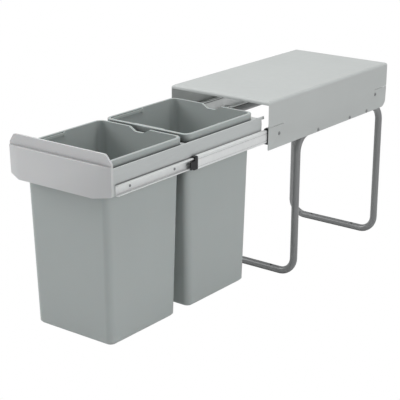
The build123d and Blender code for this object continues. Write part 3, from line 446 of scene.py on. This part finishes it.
def hoop_route(side):
    """The middle line of a hoop: -1 is the front one."""
    name = "front_leg_hoop" if side < 0 else "rear_leg_hoop"
    low, high = box_of(name)
    leg_x = high.x - TUBE_RADIUS
    leg_y = low.y + TUBE_RADIUS if side < 0 else high.y - TUBE_RADIUS
    top = high.z - TUBE_RADIUS
    corners = [
        Vector((-leg_x, side * HOOP_GAP, top)),
        Vector((-leg_x, leg_y, top)),
        Vector((-leg_x, leg_y, TUBE_RADIUS)),
        Vector((leg_x, leg_y, TUBE_RADIUS)),
        Vector((leg_x, leg_y, top)),
        Vector((leg_x, side * HOOP_GAP, top)),
    ]
    radii = [SHOULDER_BEND, FLOOR_BEND, FLOOR_BEND, SHOULDER_BEND]
    route = [corners[0]]
    for i, radius in enumerate(radii, 1):
        bend = arc_points(corners[i - 1], corners[i], corners[i + 1], radius, BEND_STEPS)
        route += split_run(route[-1], bend[0]) + bend
    route += split_run(route[-1], corners[-1]) + [corners[-1]]
    return route


def ring_of(bm, middle, across, up, radius, steps):
    """Circle of new vertices."""
    ring = []
    for k in range(steps):
        turn = 2 * math.pi * k / steps
        spoke = across * math.cos(turn) + up * math.sin(turn)
        ring.append(bm.verts.new(middle + spoke * radius))
    return ring


def tube_rings(bm, route, radius):
    """Rings of vertices along a route, joined by faces."""
    rings = []
    across = Vector((1, 0, 0))
    for i, point in enumerate(route):
        before, after = route[max(0, i - 1)], route[min(len(route) - 1, i + 1)]
        along = (after - before).normalized()
        across = (across - along * across.dot(along)).normalized()
        rings.append(ring_of(bm, point, across, along.cross(across), radius, RING_STEPS))
    for first, second in zip(rings, rings[1:]):
        for k in range(RING_STEPS):
            n = (k + 1) % RING_STEPS
            bm.faces.new((first[k], first[n], second[n], second[k]))
    return rings


def tube_mesh(bm, route):
    """Hollow tube along a route."""
    outer = tube_rings(bm, route, TUBE_RADIUS)
    inner = tube_rings(bm, route, TUBE_RADIUS - TUBE_WALL)
    for end in (0, -1):
        for k in range(RING_STEPS):
            n = (k + 1) % RING_STEPS
            bm.faces.new((outer[end][k], outer[end][n], inner[end][n], inner[end][k]))


def lathe(bm, profile, place, axis, steps=LATHE_STEPS):
    """Turned shape: profile is (radius, height) pairs along an axis from a place."""
    axis = Vector(axis).normalized()
    across = axis.orthogonal().normalized()
    up = axis.cross(across)
    rings = []
    for radius, height in profile:
        middle = Vector(place) + axis * height
        if radius > 0:
            rings.append(ring_of(bm, middle, across, up, radius, steps))
        else:
            rings.append([bm.verts.new(middle)])
    for first, second in zip(rings, rings[1:]):
        for k in range(steps):
            n = (k + 1) % steps
            if len(first) == 1:
                bm.faces.new((first[0], second[k], second[n]))
            elif len(second) == 1:
                bm.faces.new((first[k], first[n], second[0]))
            else:
                bm.faces.new((first[k], first[n], second[n], second[k]))


def cut(piece, build):
    """Cuts the closed shapes that a function builds out of a piece."""
    mesh = bpy.data.meshes.new(piece.name + "_cutter")
    bm = bmesh.new()
    build(bm)
    bmesh.ops.recalc_face_normals(bm, faces=bm.faces)
    bm.to_mesh(mesh)
    bm.free()
    tool = bpy.data.objects.new(piece.name + "_cutter", mesh)
    bpy.context.scene.collection.objects.link(tool)
    boolean = piece.modifiers.new("holes", "BOOLEAN")
    boolean.object = tool
    boolean.solver = "EXACT"
    graph = bpy.context.evaluated_depsgraph_get()
    result = bpy.data.meshes.new_from_object(piece.evaluated_get(graph), depsgraph=graph)
    piece.modifiers.clear()
    piece.data = result
    result.shade_smooth()
    result.set_sharp_from_angle(angle=math.radians(SMOOTH_ANGLE))
    bpy.data.objects.remove(tool)


def make_hoop(side, name):
    """A round leg hoop with its two countersunk floor screw holes."""
    route = hoop_route(side)
    piece = mesh_piece(
        name + "_tube", lambda bm: tube_mesh(bm, route), TUBE, "frame"
    )
    leg_y = route[len(route) // 2].y
    top = 2 * TUBE_RADIUS
    sink = SCREW_SINK_RADIUS - SCREW_HOLE_RADIUS
    profile = [
        (0, -TUBE_RADIUS),
        (SCREW_HOLE_RADIUS, -TUBE_RADIUS),
        (SCREW_HOLE_RADIUS, top - sink),
        (SCREW_SINK_RADIUS, top),
        (SCREW_SINK_RADIUS, top + TUBE_RADIUS),
        (0, top + TUBE_RADIUS),
    ]

    def holes(bm):
        for x in (-SCREW_SPACING / 2, SCREW_SPACING / 2):
            lathe(bm, profile, (x, leg_y, 0), (0, 0, 1), HOLE_STEPS)

    cut(piece, holes)
    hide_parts(name)


make_hoop(-1, "front_leg_hoop")
make_hoop(1, "rear_leg_hoop")


# Rivets, screws and balls stand where their CAD solids are


def solid_boxes(name):
    """Boxes (low, high) of a node's separate solids."""
    mesh = frame["nodes"][name].data
    bm = bmesh.new()
    bm.from_mesh(mesh)
    bmesh.ops.remove_doubles(bm, verts=bm.verts, dist=WELD_DISTANCE)
    seen, boxes = set(), []
    for vert in bm.verts:
        if vert in seen:
            continue
        group, queue = [], [vert]
        seen.add(vert)
        while queue:
            current = queue.pop()
            group.append(current.co.copy())
            for edge in current.link_edges:
                other = edge.other_vert(current)
                if other not in seen:
                    seen.add(other)
                    queue.append(other)
        low = Vector([min(co[i] for co in group) for i in range(3)])
        high = Vector([max(co[i] for co in group) for i in range(3)])
        boxes.append((low, high))
    bm.free()
    return boxes


def dome(radius, height, shank, depth):
    """Profile of a domed rivet: shank below zero, head above, pit in its middle."""
    rim = height * RIVET_RIM_SHARE
    profile = [(0, -depth), (shank, -depth), (shank, 0), (radius, 0), (radius, rim)]
    for i in range(1, RIVET_DOME_STEPS):
        turn = math.pi / 2 * i / RIVET_DOME_STEPS
        width = radius * math.cos(turn) ** RIVET_DOME_POWER
        profile.append((width, rim + (height - rim) * math.sin(turn)))
    pit = radius * RIVET_PIT_SHARE
    return profile + [
        (pit, height),
        (pit, height * RIVET_PIT_EDGE_SHARE),
        (0, height * RIVET_PIT_FLOOR_SHARE),
    ]


def make_rivets(node, body, axis_index, outward):
    """Domed rivets along an axis, with their heads outward, from each solid's box."""

    def build(bm):
        for low, high in solid_boxes(node):
            middle = (low + high) / 2
            size = high - low
            sign = outward(middle)
            end = high[axis_index] if sign > 0 else low[axis_index]
            radius = min(size[i] for i in range(3) if i != axis_index) / 2
            place = middle.copy()
            place[axis_index] = end - sign * RIVET_HEAD_HEIGHT
            axis = Vector((0, 0, 0))
            axis[axis_index] = sign
            shank = radius * RIVET_SHANK_SHARE
            depth = size[axis_index] - RIVET_HEAD_HEIGHT
            lathe(bm, dome(radius, RIVET_HEAD_HEIGHT, shank, depth), place, axis)

    piece = mesh_piece(node + "_domed", build, RIVET, body, RIVET_SMOOTH_ANGLE)
    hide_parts(node)


def side_of(middle):
    """1 on the right side and -1 on the left."""
    return 1 if middle.x > 0 else -1


ALONG_X, ALONG_Z = 0, 2
make_rivets("cover_rivets", "frame", ALONG_X, side_of)
make_rivets("cabinet_member_rivets", "frame", ALONG_X, side_of)
make_rivets("drawer_member_rivets", "drawer", ALONG_X, side_of)
make_rivets("rail_rivets", "drawer", ALONG_Z, lambda middle: 1)


def make_balls(node, body):
    """Round balls in the middle of each solid's box."""

    def build(bm):
        for low, high in solid_boxes(node):
            bmesh.ops.create_icosphere(
                bm,
                subdivisions=BALL_SUBDIVISIONS,
                radius=BALL_RADIUS,
                matrix=Matrix.Translation((low + high) / 2),
            )

    piece = mesh_piece(node + "_round", build, BALLS, body, BALL_SMOOTH_ANGLE)
    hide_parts(node)


for side in ("left", "right"):
    make_balls(side + "_outer_balls", side + "_outer_cage")
    make_balls(side + "_inner_balls", side + "_inner_cage")


# Moulded front: the raised face leans out more at its foot, between nearly upright
# creases. Its old and new corners are (half width, y).

FACE_TOP = 0.395
FACE_FOOT = 0.336
FACE_ROOT_Y = -0.7795
FACE_OLD_TOP = (0.092, -0.791)
FACE_OLD_FOOT = (0.078, -0.793)
FACE_NEW_TOP = (0.0945, -0.7868)
FACE_NEW_FOOT = (0.0895, -0.7930)
FACE_FLAT_HALF = 0.060
FACE_TURN_HALF = 0.074
FACE_BEVEL = 0.0016


def share_of(value, start, end):
    """How far a value is from a start to an end, from 0 to 1."""
    return min(1.0, max(0.0, (value - start) / (end - start)))


def face_corner(top, foot, down):
    """Half width and y of the raised face's edge, from its top (0) to its foot (1)."""
    return tuple(a + (b - a) * down for a, b in zip(top, foot))


def reshape_front(bm):
    """The CAD front with its raised face moved, less and less towards its root."""
    bm.from_mesh(frame["nodes"]["front_fascia"].data)
    bmesh.ops.remove_doubles(bm, verts=bm.verts, dist=WELD_DISTANCE)
    for vert in bm.verts:
        x, y, z = vert.co
        down = share_of(z, FACE_TOP, FACE_FOOT)
        old_half, old_y = face_corner(FACE_OLD_TOP, FACE_OLD_FOOT, down)
        new_half, new_y = face_corner(FACE_NEW_TOP, FACE_NEW_FOOT, down)
        raised = share_of(y, FACE_ROOT_Y, old_y)
        outer = share_of(abs(x), FACE_FLAT_HALF, FACE_TURN_HALF)
        vert.co.x += math.copysign(new_half - old_half, x) * raised * outer
        vert.co.y += (new_y - old_y) * raised


def make_front():
    """The reshaped front, with a finer edge radius on its creases."""
    piece = mesh_piece(
        "front_fascia_moulded", reshape_front, FASCIA, "drawer"
    )
    soften(piece, FACE_BEVEL)
    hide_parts("front_fascia")


make_front()


# CAD nodes that keep their own shape: their edge radii in metres, where they have one

BEVELS = {
    "cover_hood": 0.0003,
    "front_bin": 0.0004,
    "rear_bin": 0.0004,
    "front_bail": 0.0006,
    "rear_bail": 0.0006,
    "left_side_rail": 0.0003,
    "right_side_rail": 0.0003,
}
REPLACED = ("leg_hoop", "rivets", "balls", "front_fascia")
for entry in frame["record"]["subparts"]:
    name = entry["node"]
    if name.endswith(REPLACED):
        continue
    material = MATERIALS[entry["material_slot"]]
    if name == "rear_cross_member":
        material = ZINC_ACROSS
    finish_node(name, material, BEVELS.get(name, 0.0))


# Floor, backdrop, light and camera


def white_stage(name):
    """Pale matte surface that the camera sees as plain white."""
    nodes = Nodes(name)
    cloud = nodes.levels(nodes.noise(STAGE_CLOUD, 3.0), 0.0, 1.0)
    tone = nodes.mixed(cloud, STAGE_DARK, STAGE_LIGHT)
    nodes.join(tone, nodes.shader.inputs["Base Color"])
    nodes.set(Roughness=0.9, Specular_IOR_Level=0.1)
    light = nodes.add("ShaderNodeEmission")
    light.inputs["Color"].default_value = (1, 1, 1, 1)
    seen = nodes.add("ShaderNodeLightPath")
    mix = nodes.add("ShaderNodeMixShader")
    nodes.join(seen.outputs["Is Camera Ray"], mix.inputs["Fac"])
    nodes.join(nodes.shader.outputs[0], mix.inputs[1])
    nodes.join(light.outputs[0], mix.inputs[2])
    out = nodes.tree.nodes["Material Output"]
    nodes.join(mix.outputs[0], out.inputs["Surface"])
    return nodes.material


FLOOR_HALF = 6.0
FLOOR_Z = -0.0005


def make_floor():
    """Floor that the legs stand on, just clear of them."""
    mesh = bpy.data.meshes.new("floor")
    signs = [(-1, -1), (1, -1), (1, 1), (-1, 1)]
    corners = [(x * FLOOR_HALF, y * FLOOR_HALF, FLOOR_Z) for x, y in signs]
    mesh.from_pydata(corners, [], [(0, 1, 2, 3)])
    floor = bpy.data.objects.new("floor", mesh)
    mesh.materials.append(white_stage("floor_white"))
    bpy.context.scene.collection.objects.link(floor)


make_floor()


SKY_COLOUR = (0.96, 0.98, 1.0)
SKY_STRENGTH = 0.38
SEEN_COLOUR = (1.0, 1.0, 1.0)
SEEN_STRENGTH = 1.0


def set_world():
    """Even pale surroundings that the camera sees as white."""
    world = bpy.data.worlds.new("studio")
    bpy.context.scene.world = world
    world.use_nodes = True
    tree = world.node_tree
    tree.nodes.clear()
    soft = tree.nodes.new("ShaderNodeBackground")
    soft.inputs["Color"].default_value = (*SKY_COLOUR, 1.0)
    soft.inputs["Strength"].default_value = SKY_STRENGTH
    seen = tree.nodes.new("ShaderNodeBackground")
    seen.inputs["Color"].default_value = (*SEEN_COLOUR, 1.0)
    seen.inputs["Strength"].default_value = SEEN_STRENGTH
    path = tree.nodes.new("ShaderNodeLightPath")
    mix = tree.nodes.new("ShaderNodeMixShader")
    out = tree.nodes.new("ShaderNodeOutputWorld")
    tree.links.new(path.outputs["Is Camera Ray"], mix.inputs["Fac"])
    tree.links.new(soft.outputs[0], mix.inputs[1])
    tree.links.new(seen.outputs[0], mix.inputs[2])
    tree.links.new(mix.outputs[0], out.inputs["Surface"])


def area_light(name, place, target, size, power):
    """Soft rectangular lamp aimed at a target, of a power in watts."""
    light = bpy.data.lights.new(name, "AREA")
    light.shape = "RECTANGLE"
    light.size, light.size_y = size
    light.energy = power
    lamp = bpy.data.objects.new(name, light)
    lamp.location = place
    aim = Vector(target) - Vector(place)
    lamp.rotation_euler = aim.to_track_quat("-Z", "Y").to_euler()
    bpy.context.scene.collection.objects.link(lamp)


MIDDLE = (0.0, -0.3, 0.25)
set_world()
area_light("key_from_left", (-2.7, -1.9, 2.2), MIDDLE, (1.8, 1.8), 47)
area_light("top_soft", (0.0, -0.2, 2.8), MIDDLE, (1.7, 1.7), 36)
area_light("fill_right", (2.8, 0.0, 1.1), MIDDLE, (0.5, 1.6), 13)


def make_camera():
    """Camera at the photograph's place, looking along its fitted angles."""
    data = bpy.data.cameras.new("photo_camera")
    data.sensor_width = SENSOR_WIDTH
    data.lens = CAMERA_FOCAL_PIXELS * SENSOR_WIDTH / IMAGE_SIZE
    data.clip_start, data.clip_end = CAMERA_NEAR, CAMERA_FAR
    camera = bpy.data.objects.new("photo_camera", data)
    turn, tilt = math.radians(CAMERA_AZIMUTH), math.radians(CAMERA_ELEVATION)
    roll = math.radians(CAMERA_ROLL)
    back = Vector(
        (math.sin(turn) * math.cos(tilt), -math.cos(turn) * math.cos(tilt), math.sin(tilt))
    )
    level = Vector((math.cos(turn), math.sin(turn), 0))
    upright = back.cross(level)
    right = level * math.cos(roll) + upright * math.sin(roll)
    up = upright * math.cos(roll) - level * math.sin(roll)
    rotation = Matrix((right, up, back)).transposed()
    camera.matrix_world = Matrix.Translation(CAMERA_PLACE) @ rotation.to_4x4()
    bpy.context.scene.collection.objects.link(camera)
    bpy.context.scene.camera = camera


make_camera()
bpy.context.scene.view_settings.view_transform = "Standard"
